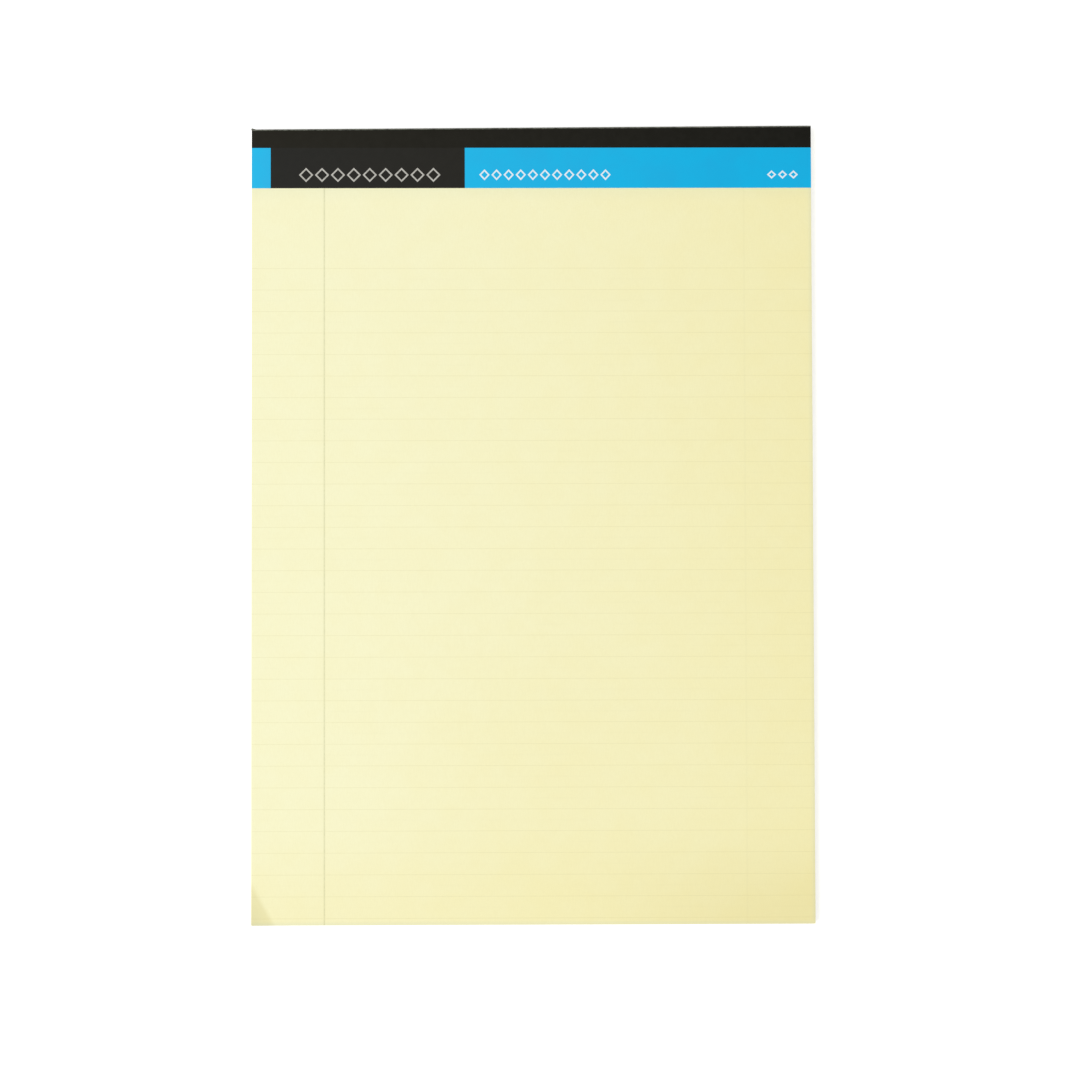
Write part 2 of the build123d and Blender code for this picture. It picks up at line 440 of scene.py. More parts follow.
def show_through(finish):
    """How strongly the reverse's rules and margin show, from 0 to 1."""
    from_first = sums(finish, "SUBTRACT", along(finish, "Y"), first_rule + rule_pitch / 2)
    from_rule = sums(finish, "PINGPONG", from_first, rule_pitch / 2)
    rules = ramp(finish, from_rule, line_core, rule_reach, 1.0, 0.0)
    thickness = grain(finish, coordinates(finish), 1 / thin_place_size)
    in_thin_places = sums(finish, "MULTIPLY", rules, ramp(finish, thickness, 0.45, 0.65, 0.05, 0.5))
    ruled_part = ramp(finish, along(finish, "Y"), first_rule + rule_pitch, first_rule)
    from_margin = gap(finish, along(finish, "X"), reverse_margin)
    margin = ramp(finish, from_margin, line_core, margin_reach, 1.0, 0.0)
    return sums(finish, "MAXIMUM", sums(finish, "MULTIPLY", in_thin_places, ruled_part), margin)


def feathered(finish):
    """How much of the margin's ink has crept into the paper beside it, from 0 to 1."""
    from_margin = gap(finish, along(finish, "X"), margin_middle)
    return ramp(finish, from_margin, feather_core, feather_reach, 1.0, 0.0)


# %% Yellow paper
fibre_yellow, most_fibres = seen(214, 202, 140), 0.05
yellow_paper = new_finish("yellow_paper", pale_yellow, roughness=0.85, shine=0.2)
fibre_share = ramp(yellow_paper, fibres(yellow_paper), 0.55, 0.95, 0.0, most_fibres)
with_fibres = blend(yellow_paper, fibre_share, paper_colour(yellow_paper), fibre_yellow)
from_behind = sums(yellow_paper, "MULTIPLY", show_through(yellow_paper), reverse_strength)
beside_margin = sums(yellow_paper, "MULTIPLY", feathered(yellow_paper), feather_strength)
inked = sums(yellow_paper, "MAXIMUM", from_behind, beside_margin)
feed(yellow_paper, "Base Color", blend(yellow_paper, inked, with_fibres, ink_in_paper))
relief(yellow_paper, fibres(yellow_paper), fibre_relief, fibre_strength)
describe(yellow_paper)

# %% [markdown]
# ## The leaf's outline
# Every leaf is one sheet, cut square at the foot and a little askew at the head. It could be a box,
# but paper bends, so it starts as a plane that can be cut where it will bend and only gets its
# thickness at the end. At the head the leaves are rounded off under the strip, so the upper ones are
# drawn back there along a quarter circle.

# %% Bare sheets
def bare_sheet(name, low, high, height):
    """A plane as wide as the pad, from low to high along it, at this height and open for editing."""
    bpy.ops.object.select_all(action="DESELECT")
    bpy.ops.mesh.primitive_plane_add(size=1, location=(0, (low + high) / 2, height))
    sheet = bpy.context.object
    sheet.name = name
    sheet.scale = (right - left, high - low, 1)
    apply_place(sheet)
    open_for_editing(sheet)
    return sheet


# %% A flat leaf
def drawn_back(depth):
    """How far the rounded head draws a leaf back, at this depth below the page."""
    if depth >= fold_radius:
        return 0.0
    return fold_radius - math.sqrt(fold_radius**2 - (fold_radius - depth) ** 2)


def flat_leaf(name, top):
    """A plane with the pad's outline at this height, askew at the head, and open for editing."""
    head = head_right - strip_thickness - drawn_back(page_top - top + leaf_pitch / 2)
    leaf = bare_sheet(name, foot, head, top)
    pick(leaf, "verts", lambda point: point.co.x < 0 < point.co.y)
    bpy.ops.transform.translate(value=(0, -skew, 0))
    return leaf


# %% [markdown]
# ## The top leaf is cut, printed and bent, in that order
# A ruling machine prints while the paper is flat, and the corner turns up later and takes its rules
# with it. The model follows that order. The flat leaf is cut along both edges of every rule, the
# narrow faces between are given the ink, and only then is the leaf bent. The rules can't leave the
# surface in that way. The alternative, narrow strips laid on a bent leaf, would need fitting.

# %% Where a leaf is cut
rim = 0.7 * MM
column_spacing = 15 * MM
press_run = 1.0 * MM
cuts_at_strip = (0.0, press_run, -8 * MM, -18 * MM)

corner_reach = (Vector((left, foot, page_top)) - crease_start).dot(to_corner)
turn_steps = 7
step_length = corner_reach / turn_steps
holding_cut = -1.0 * MM


def cut_across(rows):
    """Cut a leaf from side to side at each of these rows."""
    for y in rows:
        cut((0, y, 0), (0, 1, 0))


def cut_where_it_bends(rows):
    """Cut a leaf along its rims, the strip, the corner's turns, its columns and these rows."""
    cut_across(rows)
    for inside in (rim, 2 * rim):
        cut((left + inside, 0, 0), (1, 0, 0))
        cut((right - inside, 0, 0), (1, 0, 0))
        cut((0, foot + inside, 0), (0, 1, 0))
    cut_across(flap_edge + run for run in cuts_at_strip)
    for column in range(1, int((right - left) / column_spacing)):
        cut((left + column * column_spacing, 0, 0), (1, 0, 0))
    for reach in [holding_cut] + [step * step_length for step in range(turn_steps)]:
        cut(crease_start + reach * to_corner, to_corner)


# %% Cut the top leaf
top_leaf = flat_leaf("top_leaf", page_top)
cut_where_it_bends([y + side * rule_width / 2 for y in rule_places for side in (-1, 1)])
for x in (margin_low.x, margin_high.x):
    cut((x, 0, 0), (1, 0, 0))
close()
print("top leaf, cut:", len(top_leaf.data.polygons), "faces")

# %% [markdown]
# The inks are thin on uncoated paper, so they are the paper's colour with a little grey, and the
# fibres break them up. The margin is printed heavier than the feint rules.

# %% Inks
ink_patch_size, thinnest_share = 0.8 * MM, 0.65


def ruling_ink(name, colour, cover):
    """A thin ink on the yellow paper, broken up by the paper's fibres."""
    finish = new_finish(name, colour, roughness=0.8, shine=0.2)
    patches = grain(finish, coordinates(finish), 1 / ink_patch_size, detail=2.0)
    broken = ramp(finish, patches, 0.3, 0.7, thinnest_share * cover, cover)
    feed(finish, "Base Color", blend(finish, broken, paper_colour(finish), colour))
    relief(finish, fibres(finish), fibre_relief, fibre_strength)
    describe(finish)
    return finish


feint_ink = ruling_ink("feint_ink", seen(205, 196, 140), cover=0.22)
margin_ink = ruling_ink("margin_ink", seen(150, 152, 100), cover=0.34)


# %% Print the top leaf
def on_margin(face):
    """Tell the faces that the margin rule is printed on."""
    middle = face.calc_center_median()
    return margin_low.x < middle.x < margin_high.x and middle.y < flap_edge


def on_rule(face):
    """Tell the faces that a feint rule is printed on."""
    y = face.calc_center_median().y
    return not on_margin(face) and any(abs(y - rule) < rule_width / 2 for rule in rule_places)


for finish in (yellow_paper, feint_ink, margin_ink):
    top_leaf.data.materials.append(finish)
open_for_editing(top_leaf)
for slot, wanted in ((1, on_rule), (2, on_margin)):
    count = pick(top_leaf, "faces", wanted)
    top_leaf.active_material_index = slot
    bpy.ops.object.material_slot_assign()
    print(top_leaf.material_slots[slot].name, "on", count, "faces")
close()

# %% [markdown]
# ## Bending a leaf
# Paper bends one way at a time and never stretches, so the corner isn't pulled up: it is turned about
# its crease, and then a little more at each of the parallel cuts towards the tip. Each turn takes all
# that lies beyond its cut, as a finger does. With no window open the rotate tool turns the other way
# round, so a positive angle lifts the corner here.
# A pad also never lies quite flat. A few low swells, lifted with a soft falloff, give the
# page the slight unevenness that shows in its shading. Then the leaf is pressed where it was worked:
# the strip sinks into it at the head, and the trimmer's blade drags the rims down a little.

# %% Turn the corner up
turn_start = math.radians(12.0)
turn_radius = 27.0 * MM
turn_axes = (crease, to_corner, upwards)


def turn_corner_up(leaf, share):
    """Turn the corner up about its crease, by this share of the top leaf's angles."""
    mesh = bmesh.from_edit_mesh(leaf.data)
    reaches = [(point.co - crease_start).dot(to_corner) for point in mesh.verts]
    flat_height = min(point.co.z for point in mesh.verts)
    hinge, angle = Vector((*crease_start.xy, flat_height)), 0.0
    for step in range(turn_steps):
        turn = share * (turn_start if step == 0 else step_length / turn_radius)
        beyond = step * step_length + near
        pick(leaf, "verts", lambda point: reaches[point.index] > beyond)
        bpy.ops.transform.rotate(
            value=turn,
            orient_axis="X",
            orient_matrix=turn_axes,
            center_override=hinge,
        )
        angle += turn
        onwards = math.cos(angle) * to_corner + math.sin(angle) * upwards
        hinge = hinge + step_length * onwards


# %% Lift the swells
# Each swell: where it is, how high it lifts the top leaf, and how far it reaches.
swells = (
    (Vector((-30 * MM, -55 * MM, page_top)), 0.30 * MM, 90 * MM),
    (Vector((60 * MM, 20 * MM, page_top)), 0.26 * MM, 80 * MM),
    (Vector((-70 * MM, 60 * MM, page_top)), 0.18 * MM, 60 * MM),
    (Vector((45 * MM, foot, page_top)), 0.34 * MM, 60 * MM),
)


def swell(leaf, share):
    """Lift a leaf's swells, by this share of the top leaf's."""
    for place, lift, reach in swells:
        mesh = bmesh.from_edit_mesh(leaf.data)
        nearest = min(mesh.verts, key=lambda point: (point.co.xy - place.xy).length).index
        pick(leaf, "verts", lambda point: point.index == nearest)
        bpy.ops.transform.translate(
            value=(0, 0, share * lift),
            use_proportional_edit=True,
            proportional_edit_falloff="SMOOTH",
            proportional_size=reach,
        )


# %% Press the head and the rims
page_seat = strip_top - strip_thickness
rim_drop = 0.05 * MM


def sink(leaf, share, wanted):
    """Bring some of a leaf's points to this share of their height over the board."""
    pick(leaf, "verts", wanted)
    bpy.ops.transform.resize(value=(1, 1, share), center_override=(0, 0, board_top))


def press(leaf):
    """Sink the head under the strip, and draw the rims down, all in proportion to the height."""
    height = page_top - board_top
    outermost = 0.2 * rim
    sink(leaf, (page_seat - board_top) / height, lambda point: point.co.y > flap_edge + 0.5 * press_run)
    for at_rim in (
        lambda point: point.co.x < left + outermost,
        lambda point: point.co.x > right - outermost,
        lambda point: point.co.y < foot + outermost,
    ):
        sink(leaf, 1 - rim_drop / height, at_rim)


# %% Bend the top leaf
open_for_editing(top_leaf)
turn_corner_up(top_leaf, 1.0)
swell(top_leaf, 1.0)
press(top_leaf)
close()
tip = max(top_leaf.data.vertices, key=lambda point: point.co.z).co
print("corner tip lifted", in_mm(tip.z - page_top))

# %% [markdown]
# ## Lifting the ink off the leaf
# The inked faces are copied out of the bent leaf into pieces of their own, so that each ink can be
# recoloured, and given a film's thickness above the paper. The leaf under them stays whole.

# %% Thickness and shading
def thicken(piece, thickness, side):
    """Give a surface its thickness, on the side it faces (1) or behind it (-1)."""
    take(piece)
    wall = piece.modifiers.new("thickness", "SOLIDIFY")
    wall.thickness = thickness
    wall.offset = side
    bpy.ops.object.modifier_apply(modifier=wall.name)


def shade_smoothly(piece, degrees):
    """Shade a piece smoothly, except at edges that turn by more than this."""
    take(piece)
    bpy.ops.object.shade_smooth_by_angle(angle=math.radians(degrees))


# %% Separate the printing
def lift_ink(slot, name, node):
    """Copy the faces of one ink off the top leaf, and thicken them upwards into a film."""
    open_for_editing(top_leaf)
    bpy.ops.mesh.select_mode(type="FACE")
    top_leaf.active_material_index = slot
    bpy.ops.object.material_slot_select()
    bpy.ops.mesh.duplicate()
    before = set(bpy.data.objects)
    bpy.ops.mesh.separate(type="SELECTED")
    close()
    film = (set(bpy.data.objects) - before).pop()
    film.name = name
    finish = top_leaf.data.materials[slot]
    film.data.materials.clear()
    film.data.materials.append(finish)
    thicken(film, ink_thickness, 1.0)
    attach(film, "root")
    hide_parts(node)
    return film


feint_print = lift_ink(1, "feint_print", "feint_rules")
margin_print = lift_ink(2, "margin_print", "margin_rule")
for polygon in top_leaf.data.polygons:
    polygon.material_index = 0
while len(top_leaf.data.materials) > 1:
    top_leaf.data.materials.pop()
thicken(top_leaf, leaf_thickness, -1.0)
bend_limit = 30
for piece in (top_leaf, feint_print, margin_print):
    shade_smoothly(piece, bend_limit)
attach(top_leaf, "root")
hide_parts("page_block")
print("top leaf:", len(top_leaf.data.polygons), "faces, feint rules:", len(feint_print.data.polygons))

# %% [markdown]
# ## The leaves below
# The second and third leaf turn up with the top one, each a little less, so that they fan out, and the
# next few only swell. The rest lie flat. They could all be one block with lines painted on its sides,
# but the sides then shine like a block. Here each is a real leaf with a hair of air above it, and no
# two lie exactly in line. One bent leaf is made for each of the upper ones, and one flat leaf is
# modelled once and copied for the rest, shifted by amounts drawn from a fixed seed.

# %% The leaves that bend with the top one
random.seed(50)
jog = 0.045 * MM
corner_shares = (0.8, 0.55, 0.0, 0.0, 0.0)
swell_shares = (0.85, 0.7, 0.5, 0.3, 0.12)


def knocked_up(leaf):
    """Shift a leaf a hair's breadth, as leaves lie after they are knocked up square and trimmed."""
    shift = Vector((random.uniform(-jog, jog), random.uniform(-jog, jog), 0))
    for point in leaf.data.vertices:
        point.co += shift


bent_leaves = []
for below, (corner_share, swell_share) in enumerate(zip(corner_shares, swell_shares), start=1):
    leaf = flat_leaf(f"leaf_{below + 1}", page_top - below * leaf_pitch)
    cut_where_it_bends(rule_places)
    turn_corner_up(leaf, corner_share)
    swell(leaf, swell_share)
    press(leaf)
    close()
    thicken(leaf, leaf_thickness, -1.0)
    knocked_up(leaf)
    bent_leaves.append(leaf)
turned_leaves = joined(bent_leaves, "turned_leaves")
shade_smoothly(turned_leaves, bend_limit)
print("turned leaves:", len(turned_leaves.data.polygons), "faces")

# %% The leaves that lie flat
inner_column = 60 * MM
flat_places = [page_top - below * leaf_pitch for below in range(1 + len(corner_shares), leaf_count)]
pattern_leaf = flat_leaf("pattern_leaf", flat_places[0])
for inside in (rim, inner_column):
    cut((left + inside, 0, 0), (1, 0, 0))
    cut((right - inside, 0, 0), (1, 0, 0))
    cut((0, foot + inside, 0), (0, 1, 0))
cut_across((flap_edge, flap_edge + press_run))
close()
thicken(pattern_leaf, leaf_thickness, -1.0)
flat_leaves = []
for place in flat_places:
    leaf = copy_of(pattern_leaf, "flat_leaf")
    for point in leaf.data.vertices:
        point.co.z += place - flat_places[0]
    knocked_up(leaf)
    open_for_editing(leaf)
    press(leaf)
    close()
    flat_leaves.append(leaf)
bpy.data.objects.remove(pattern_leaf)
leaf_stack = joined(flat_leaves, "leaf_stack")
print("leaf stack:", len(flat_places), "leaves,", len(leaf_stack.data.polygons), "faces")

# %% [markdown]
# The cut sides get the same paper, with what a trimmer's blade leaves: fine upright scores, and a
# slightly deeper tone, because light sinks in between the leaves. The scores are a noise that is
# squeezed along the side and drawn out over its height.

# %% Cut edges
score_width = 0.6 * MM
score_yellow, deepest_score = seen(222, 208, 148), 0.22


def cut_edge_finish():
    """Yellow paper seen on its cut edges."""
    finish = new_finish("cut_paper", pale_yellow, roughness=0.9, shine=0.15)
    scores = grain(finish, coordinates(finish, stretched=(1, 1, 0.04)), 1 / score_width, detail=4.0)
    tone = ramp(finish, scores, 0.35, 0.7, 0.0, deepest_score)
    feed(finish, "Base Color", blend(finish, tone, paper_colour(finish), score_yellow))
    relief(finish, scores, depth=0.05 * MM, strength=0.5)
    describe(finish)
    return finish


cut_paper = cut_edge_finish()
for piece in (turned_leaves, leaf_stack):
    piece.data.materials.append(yellow_paper)
    piece.data.materials.append(cut_paper)
    open_for_editing(piece)
    count = pick(piece, "faces", lambda face: abs(face.normal.z) < 0.5)
    piece.active_material_index = 1
    bpy.ops.object.material_slot_assign()
    close()
    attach(piece, "root")
    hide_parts("page_block")
    print(piece.name, "has", count, "cut faces")

# %% [markdown]
# ## The strip over the head
# The strip is one piece of printed paper, pasted to the leaves, folded over the head and pasted to the
# board. It is built as it is folded: a flat flap, a spin of a quarter turn, the spine, another quarter
# turn, and the back flap. Paper goes round a fold without a sharp edge, which is why a spin is used
# and not a plain extrusion. The head is askew, so the left end is moved down with it, and the back
# flap's edge runs off line by twice as much, as on a straight strip folded over a crooked edge.

# %% Folding tools
outer_fold = fold_radius + strip_thickness
fold_steps = 6
back_flap = 15 * MM
fold_start = head_right - outer_fold
spine = strip_top - 2 * outer_fold


def strip_edge_at(y, z):
    """Tell the strip's edges that run across the pad at this place."""
    return lambda edge: all(
        abs(point.co.y - y) < near and abs(point.co.z - z) < near for point in edge.verts
    )


def fold_over(y, z, middle_z):
    """Take the strip's edge at this place round a quarter turn, about a line at this height."""
    pick(strip, "edges", strip_edge_at(y, z))
    middle = (0, fold_start, middle_z)
    bpy.ops.mesh.spin(steps=fold_steps, angle=math.radians(90), axis=(1, 0, 0), center=middle)


def run_on(y, z, move):
    """Carry the strip's edge at this place straight on."""
    pick(strip, "edges", strip_edge_at(y, z))
    bpy.ops.mesh.extrude_region_move(TRANSFORM_OT_translate={"value": move})


# %% Fold the strip
strip = bare_sheet("folded_strip", flap_edge, fold_start, strip_top)
fold_over(fold_start, strip_top, middle_z=strip_top - outer_fold)
run_on(head_right, strip_top - outer_fold, (0, 0, -spine))
fold_over(head_right, outer_fold, middle_z=outer_fold)
run_on(fold_start, 0, (0, -(back_flap - outer_fold), 0))
print("strip folded:", len(bmesh.from_edit_mesh(strip.data).faces), "faces")

# %% [markdown]
# Next the left end goes askew with the head. The strip has been knocked there as well, so the very
# end of its fold stands up a little. The strip is cut beside and below that place first, because a
# lift reaches as far as the next cut, and would raise the flap under the blue field with it.

# %% Places at the strip's left end
at_left = left + near
back_edge = head_right - back_flap - skew
ear_width = 0.55 * MM


def behind_flap_edge(point):
    """Tell the left end's points, all but those on the front flap's edge."""
    return point.co.x < at_left and (point.co.y > flap_edge + near or point.co.z < strip_top / 2)


def on_back_edge(point):
    """Tell the left end's points on the back flap's edge."""
    return point.co.x < at_left and point.co.y < back_edge + near and point.co.z < near


def on_ear(point):
    """Tell the points at the start of the front fold, at its left end."""
    at_fold = point.co.y > head_left - outer_fold and point.co.z > strip_top - outer_fold / 2
    return point.co.x < at_left + ear_width and at_fold


# %% Set the left end askew, lift its ear, and thicken the paper
ear_lift = Vector((-0.15 * MM, 0.4 * MM, 0.2 * MM))
ear_depth = 3 * MM
for wanted in (behind_flap_edge, on_back_edge):
    pick(strip, "verts", wanted)
    bpy.ops.transform.translate(value=(0, -skew, 0))
for inside in (ear_width, 3 * ear_width):
    cut((left + inside, 0, 0), (1, 0, 0))
cut_across([head_left - ear_depth])
pick(strip, "verts", on_ear)
bpy.ops.transform.translate(value=ear_lift)
close()
thicken(strip, strip_thickness, -1.0)
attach(strip, "root")
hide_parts("head_tape")
heights = [point.co.z for point in strip.data.vertices]
print("strip from", in_mm(min(heights)), "to", in_mm(max(heights)), "high")

# %% [markdown]
# ## The strip's print
# The black is a satin print: the band along the head is a little deeper than the panel below it, and
# the back flap is as deep as the band. Both blacks are painted paler towards the left, a painted sheen
# from the lamp's side. On both folds a thin grey line is painted: partly ink that has cracked and
# rubbed off to show the paper, and partly a painted highlight where the fold catches the light. That
# line follows the askew head, so its coordinates are turned by the same small angle, and it keeps off
# the spine between the folds. Ink flakes and doesn't fade, so the line's edges are broken up by a fine
# noise. The paper inside is white, and it shows where the strip was cut.

# %% Where the ink is rubbed off, and a highlight is painted
flake_size, worn_patch_size = 0.25 * MM, 1.6 * MM
wear_starts, wear_full = -1.1 * MM, -0.25 * MM
fold_worn, fold_whole = 0.5 * MM, 0.95 * MM
least_worn = 0.4


def rubbed_and_highlight_line(finish):
    """Where the folds' thin line is, rubbed-off ink and a painted highlight, from 0 to 1."""
    askew = math.atan2(skew, right - left)
    head_middle = (head_left + head_right) / 2
    where = coordinates(finish, turned=-askew, moved=(0, -head_middle, 0))
    near_head = ramp(finish, along(finish, "Y", where), wear_starts, wear_full)
    height = along(finish, "Z", where)
    from_either = sums(finish, "MINIMUM", sums(finish, "SUBTRACT", strip_top, height), height)
    on_fold = ramp(finish, from_either, fold_worn, fold_whole, 1.0, 0.0)
    wear = sums(finish, "MULTIPLY", near_head, on_fold)
    drawn_out = coordinates(finish, stretched=(0.4, 1, 1))
    speckles = grain(finish, drawn_out, 1 / flake_size, detail=5.0, roughness=0.7)
    ragged = ramp(finish, sums(finish, "ADD", wear, speckles), 1.0, 1.35)
    worn = grain(finish, coordinates(finish), 1 / worn_patch_size, detail=4.0)
    return sums(finish, "MULTIPLY", ragged, ramp(finish, worn, 0.3, 0.6, least_worn, 1.0))


# %% Blacks and tooth
# The paler blacks are a painted sheen towards the left, where the lamp is.
band_black, lit_band = seen(9, 8, 2), seen(27, 25, 17)
panel_black, lit_panel = seen(28, 24, 14), seen(32, 32, 29)
band_softness = 0.2 * MM
tooth_size, tooth_depth = 0.5 * MM, 0.01 * MM


def two_blacks(finish):
    """The band's black, on the back flap too, and the panel's, both with a painted sheen to the left.
    """
    # Painted sheen: paler towards the left.
    painted_sheen = ramp(finish, along(finish, "X"), left, right, 1.0, 0.0, smooth=False)
    band = blend(finish, painted_sheen, band_black, lit_band)
    panel = blend(finish, painted_sheen, panel_black, lit_panel)
    band_foot = blue_high.y
    on_band = ramp(finish, along(finish, "Y"), band_foot - band_softness, band_foot + band_softness)
    below_page = ramp(finish, along(finish, "Z"), strip_top / 2, strip_top / 4)
    return blend(finish, sums(finish, "MAXIMUM", on_band, below_page), panel, band)


def toothed(finish, strength):
    """Give a print the fine tooth of coated paper."""
    tooth = grain(finish, coordinates(finish), 1 / tooth_size, detail=2.0)
    relief(finish, tooth, tooth_depth, strength)


# %% Black print
# The grey on the folds is partly bared paper and partly a painted highlight.
thin_black, bared_paper_and_highlight = seen(60, 59, 53), seen(114, 116, 105)
mottle_size, most_thinned = 2.5 * MM, 0.05
black_print = new_finish("black_print", band_black, roughness=0.5, shine=0.1)
mottle = grain(black_print, coordinates(black_print), 1 / mottle_size, detail=5.0)
thinned = ramp(black_print, mottle, 0.3, 0.7, 0.0, most_thinned)
uneven = blend(black_print, thinned, two_blacks(black_print), thin_black)
feed(black_print, "Base Color", blend(black_print, rubbed_and_highlight_line(black_print), uneven, bared_paper_and_highlight))
toothed(black_print, 0.25)
describe(black_print)

# %% The strip's white core
core_white, core_pair = seen(232, 231, 224), (seen(236, 235, 228), seen(214, 212, 203))
core_grain_size = 0.3 * MM
strip_core = new_finish("strip_core", core_white, roughness=0.85, shine=0.2)
core_noise = grain(strip_core, coordinates(strip_core), 1 / core_grain_size)
core_grain = ramp(strip_core, core_noise, 0.3, 0.7)
feed(strip_core, "Base Color", blend(strip_core, core_grain, *core_pair))
describe(strip_core)


# %% Where the strip was cut
def cut_side(face):
    """Tell the faces where the strip was cut: at its two ends and along its flaps' edges."""
    middle = face.calc_center_median()
    at_end = abs(middle.x) > right - 2 * near
    faces_foot = face.normal.y < -0.9
    along_front = middle.z > page_seat and middle.y < flap_edge + 2 * near
    along_back = middle.z < strip_thickness and middle.y < head_right - back_flap + 2 * near
    return at_end or (faces_foot and (along_front or along_back))


strip.data.materials.append(black_print)
strip.data.materials.append(strip_core)
open_for_editing(strip)
count = pick(strip, "faces", cut_side)
strip.active_material_index = 1
bpy.ops.object.material_slot_assign()
close()
fold_limit = 35
shade_smoothly(strip, fold_limit)
print("strip's cut faces:", count)

# %% [markdown]
# ## Finishes for the pieces that keep their form
# The blue fields, the ornaments, the board and the wire stitches are right as they are. They are given
# finishes only: their meshes aren't touched. Blue and white print on coated paper is satin and almost
# even. A light noise stands for uneven ink, and a finer one for the coating's tooth. The blue is
# painted a little paler towards the left, a painted sheen, as the blacks are.

# %% A printed colour
blue_pair = (seen(13, 179, 229), seen(20, 174, 225))
# The paler blues are a painted sheen towards the left, where the lamp is.
lit_blue_pair = (seen(35, 186, 234), seen(42, 181, 230))
grey_pair = (seen(196, 194, 186), seen(172, 170, 162))
white_pair = (seen(238, 244, 246), seen(214, 232, 240))
sheen_ends_at = right - 34 * MM


def print_finish(name, pair, spread, lit_pair=None):
    """A colour that drifts to a second one in patches of this size, and may have a painted sheen to the
    left.
    """
    finish = new_finish(name, pair[0], roughness=0.5, shine=0.1)
    drift = ramp(finish, grain(finish, coordinates(finish), 1 / spread, detail=4.0), 0.25, 0.75)
    shown = blend(finish, drift, *pair)
    if lit_pair:
        painted_sheen = ramp(finish, along(finish, "X"), left, sheen_ends_at, 1.0, 0.0, smooth=False)
        shown = blend(finish, painted_sheen, shown, blend(finish, drift, *lit_pair))
    feed(finish, "Base Color", shown)
    toothed(finish, 0.2)
    return finish


# %% Dress the printing
def dress(node, finish):
    """Give a node of the frame its finish, in every slot it has."""
    piece = frame["nodes"][node]
    if not piece.material_slots:
        piece.data.materials.append(finish)
    for slot in piece.material_slots:
        slot.material = finish
    print(node, "wears", finish.name)


blue_patch_size, ornament_patch_size = 12 * MM, 1.2 * MM
blue_print = print_finish("blue_print", blue_pair, blue_patch_size, lit_blue_pair)
dress("blue_print_left", blue_print)
dress("blue_print_right", blue_print)
dress("grey_ornament", print_finish("grey_print", grey_pair, ornament_patch_size))
dress("white_ornament", print_finish("white_print", white_pair, ornament_patch_size))

# %% [markdown]
# The board is unlined greyboard: waste paper pulped together, so it is a warm grey with darker fibres,
# dark and pale flecks, and a rough surface. The flecks are a cell pattern of which only the cells'
# middles are kept. Stitching wire is drawn steel, bright and finely lined along its length.

# %% Flecks
fleck_turn = 0.4


def flecks(finish, spacing, size, stretched):
    """Small flecks, from 0 to 1, in about one cell of three."""
    where = coordinates(finish, fleck_turn, stretched=stretched)
    cells = add(finish, "ShaderNodeTexVoronoi", {"Vector": where, "Scale": 1 / spacing})
    near_middle = ramp(finish, cells.outputs["Distance"], 0.0, size, 1.0, 0.0)
    lot = add(finish, "ShaderNodeSeparateColor", {0: cells.outputs["Color"]}).outputs[0]
    return sums(finish, "MULTIPLY", near_middle, ramp(finish, lot, 0.6, 0.7))


# %% Board
warm_grey, pulp_pair = seen(152, 148, 137), (seen(146, 142, 131), seen(162, 158, 147))
fibre_grey, most_marked = seen(118, 113, 103), 0.3
dark_grey, pale_grey = seen(92, 88, 82), seen(206, 202, 190)
pulp_size, board_tooth = 6 * MM, 0.7 * MM
greyboard = new_finish("greyboard", warm_grey, roughness=0.9, shine=0.15)
pulp = ramp(greyboard, grain(greyboard, coordinates(greyboard), 1 / pulp_size, detail=6.0), 0.3, 0.7)
board_grey = blend(greyboard, pulp, *pulp_pair)
fibre_marks = ramp(greyboard, fibres(greyboard), 0.6, 0.95, 0.0, most_marked)
board_grey = blend(greyboard, fibre_marks, board_grey, fibre_grey)
dark_flecks = flecks(greyboard, spacing=2.2 * MM, size=0.22, stretched=(1, 0.5, 1))
board_grey = blend(greyboard, dark_flecks, board_grey, dark_grey)
pale_flecks = flecks(greyboard, spacing=3.1 * MM, size=0.16, stretched=(0.6, 1, 1))
feed(greyboard, "Base Color", blend(greyboard, pale_flecks, board_grey, pale_grey))
rough = grain(greyboard, coordinates(greyboard), 1 / board_tooth, detail=5.0)
relief(greyboard, rough, depth=0.06 * MM, strength=0.6)
dress("backing_board", greyboard)

# %% Wire
steel, steel_pair = seen(196, 197, 198), (seen(205, 206, 207), seen(160, 160, 158))
line_size, brightest, dullest = 0.08 * MM, 0.22, 0.45
steel_wire = new_finish("steel_wire", steel, roughness=0.3, shine=0.5)
steel_wire.node_tree.nodes["Principled BSDF"].inputs["Metallic"].default_value = 1.0
drawn_lines = grain(steel_wire, coordinates(steel_wire, stretched=(0.1, 1, 1)), 1 / line_size)
feed(steel_wire, "Base Color", blend(steel_wire, drawn_lines, *steel_pair))
feed(steel_wire, "Roughness", ramp(steel_wire, drawn_lines, 0.3, 0.7, brightest, dullest))
for side in ("left", "right"):
    dress(f"wire_stitch_{side}", steel_wire)

# %% [markdown]
# ## Floor, light and camera
# The pad lies on plain white. Turning the lamps up until the floor burns out would wash out the paper
# as well. So the floor adds a little light of its own, for the camera and in reflections only: it
# comes out white, and the pad's soft shadow still darkens it.

# %% Where the white is seen
def seen_directly(tree):
    """1 for the camera and for reflections and refractions, and 0 where light is worked out."""
    path = tree.nodes.new("ShaderNodeLightPath")
    share = path.outputs["Is Camera Ray"]
    for name in ("Is Glossy Ray", "Is Transmission Ray"):
        larger = tree.nodes.new("ShaderNodeMath")
        larger.operation = "MAXIMUM"
        tree.links.new(share, larger.inputs[0])
        tree.links.new(path.outputs[name], larger.inputs[1])
        share = larger.outputs[0]
    return share


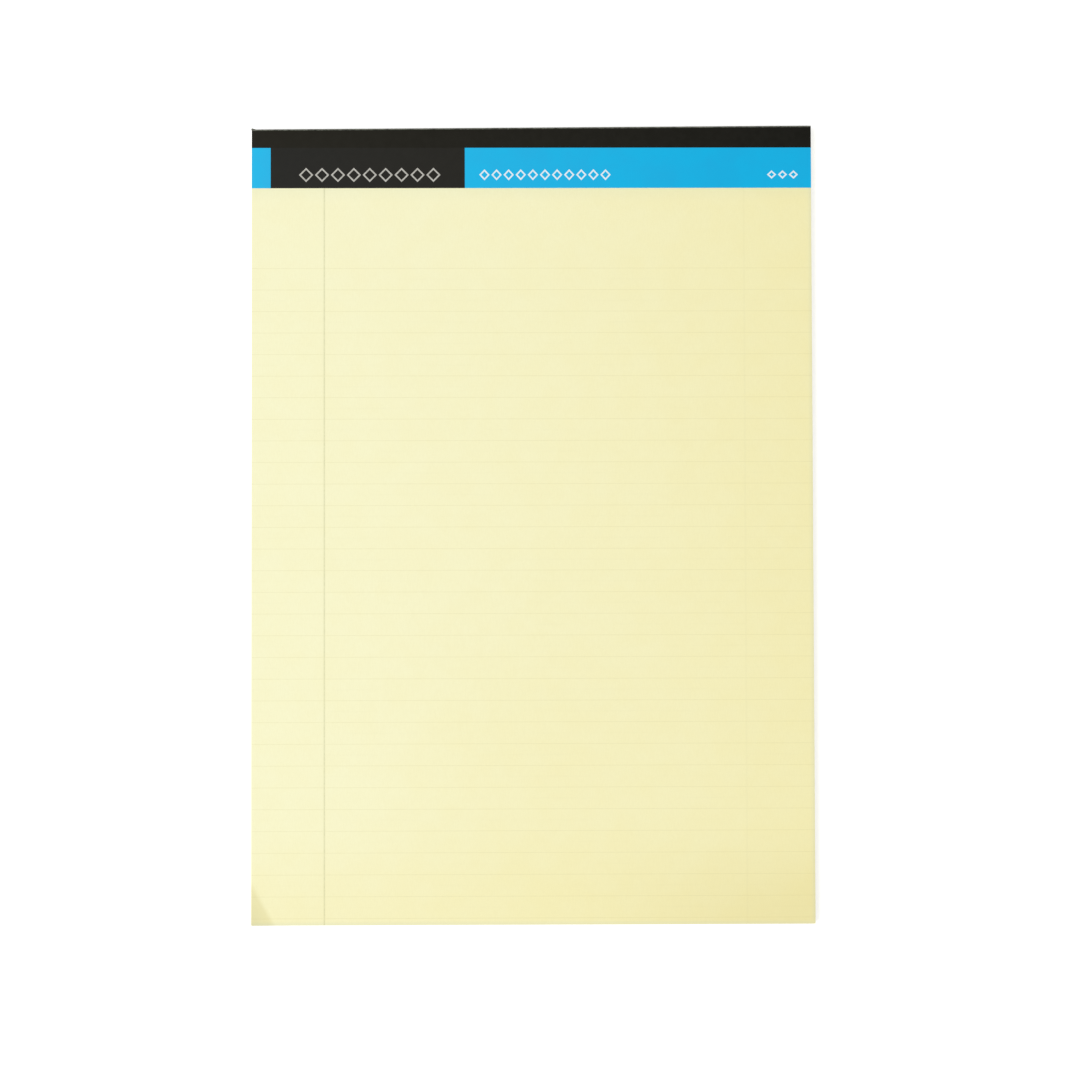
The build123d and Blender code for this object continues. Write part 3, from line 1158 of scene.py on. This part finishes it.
# %% White floor
floor_size = 8.0
floor_light = 0.52
floor_grey, no_light, pure_white = (0.8, 0.8, 0.8, 1.0), (0, 0, 0, 1), (1, 1, 1, 1)
bpy.ops.object.select_all(action="DESELECT")
bpy.ops.mesh.primitive_plane_add(size=floor_size, location=(0, 0, 0))
floor = bpy.context.object
floor.name = "floor"
floor_finish = new_finish("white_floor", floor_grey, roughness=0.9, shine=0.0)
floor.data.materials.append(floor_finish)
floor_tree = floor_finish.node_tree
own_light = floor_tree.nodes.new("ShaderNodeMixRGB")
own_light.inputs[1].default_value = no_light
own_light.inputs[2].default_value = pure_white
floor_tree.links.new(seen_directly(floor_tree), own_light.inputs[0])
feed(floor_finish, "Emission Color", own_light.outputs[0])
floor_tree.nodes["Principled BSDF"].inputs["Emission Strength"].default_value = floor_light
print("floor", floor_size, "m wide, its own light", floor_light)

# %% White surroundings
tent_light = 0.6
surroundings = bpy.data.worlds.new("surroundings")
surroundings.use_nodes = True
bpy.context.scene.world = surroundings
world_tree = surroundings.node_tree
soft_light = world_tree.nodes["Background"]
soft_light.inputs["Color"].default_value = pure_white
soft_light.inputs["Strength"].default_value = tent_light
white = world_tree.nodes.new("ShaderNodeBackground")
white.inputs["Color"].default_value = pure_white
white.inputs["Strength"].default_value = 1.0
either = world_tree.nodes.new("ShaderNodeMixShader")
world_tree.links.new(seen_directly(world_tree), either.inputs[0])
world_tree.links.new(soft_light.outputs[0], either.inputs[1])
world_tree.links.new(white.outputs[0], either.inputs[2])
world_tree.links.new(either.outputs[0], world_tree.nodes["World Output"].inputs["Surface"])
print("surroundings light the pad at", tent_light)

# %% [markdown]
# Most of the light is even, as in a light tent. One large lamp on the left, high up, gives the rest:
# it makes the page paler at the left, and leaves the turned-up corner, which leans away from it, a
# little darker.

# %% The lamp
lamp_distance = 2.4
lamp_direction = Vector((-0.47, -0.12, 0.87)).normalized()
lamp_width = 1.3
lamp_watts = 27.5
lamp = bpy.data.lights.new("large_lamp", "AREA")
lamp.shape = "SQUARE"
lamp.size = lamp_width
lamp.energy = lamp_watts
lamp_object = bpy.data.objects.new("large_lamp", lamp)
lamp_object.location = lamp_distance * lamp_direction
lamp_object.rotation_euler = lamp_direction.to_track_quat("Z", "Y").to_euler()
bpy.context.scene.collection.objects.link(lamp_object)
print("lamp", lamp_distance, "m away, at", lamp_watts, "watts")

# %% [markdown]
# The camera looks almost straight down. Its place, tilt and lens come from fitting a pinhole camera to
# the pad's corners, the strip's lines and the rules. It meets them within about a pixel, and the margin
# within a little more.

# %% The camera
sensor_width, focal_length = 36.0, 97.65
camera_place = (-9.4 * MM, -46.8 * MM, 1100 * MM)
camera_tilt = (2.12, -0.63, -0.16)
camera = bpy.data.cameras.new("camera")
camera.sensor_width = sensor_width
camera.lens = focal_length
camera_object = bpy.data.objects.new("camera", camera)
camera_object.location = camera_place
camera_object.rotation_euler = [math.radians(degrees) for degrees in camera_tilt]
bpy.context.scene.collection.objects.link(camera_object)
bpy.context.scene.camera = camera_object
bpy.context.scene.view_settings.view_transform = "Standard"
view_width = (camera_place[2] - page_top) * sensor_width / focal_length
print("camera sees", in_mm(view_width), "across at the page")

# %% [markdown]
# ## The end
# The scene is brought up to date.

# %% The end
bpy.context.view_layer.update()
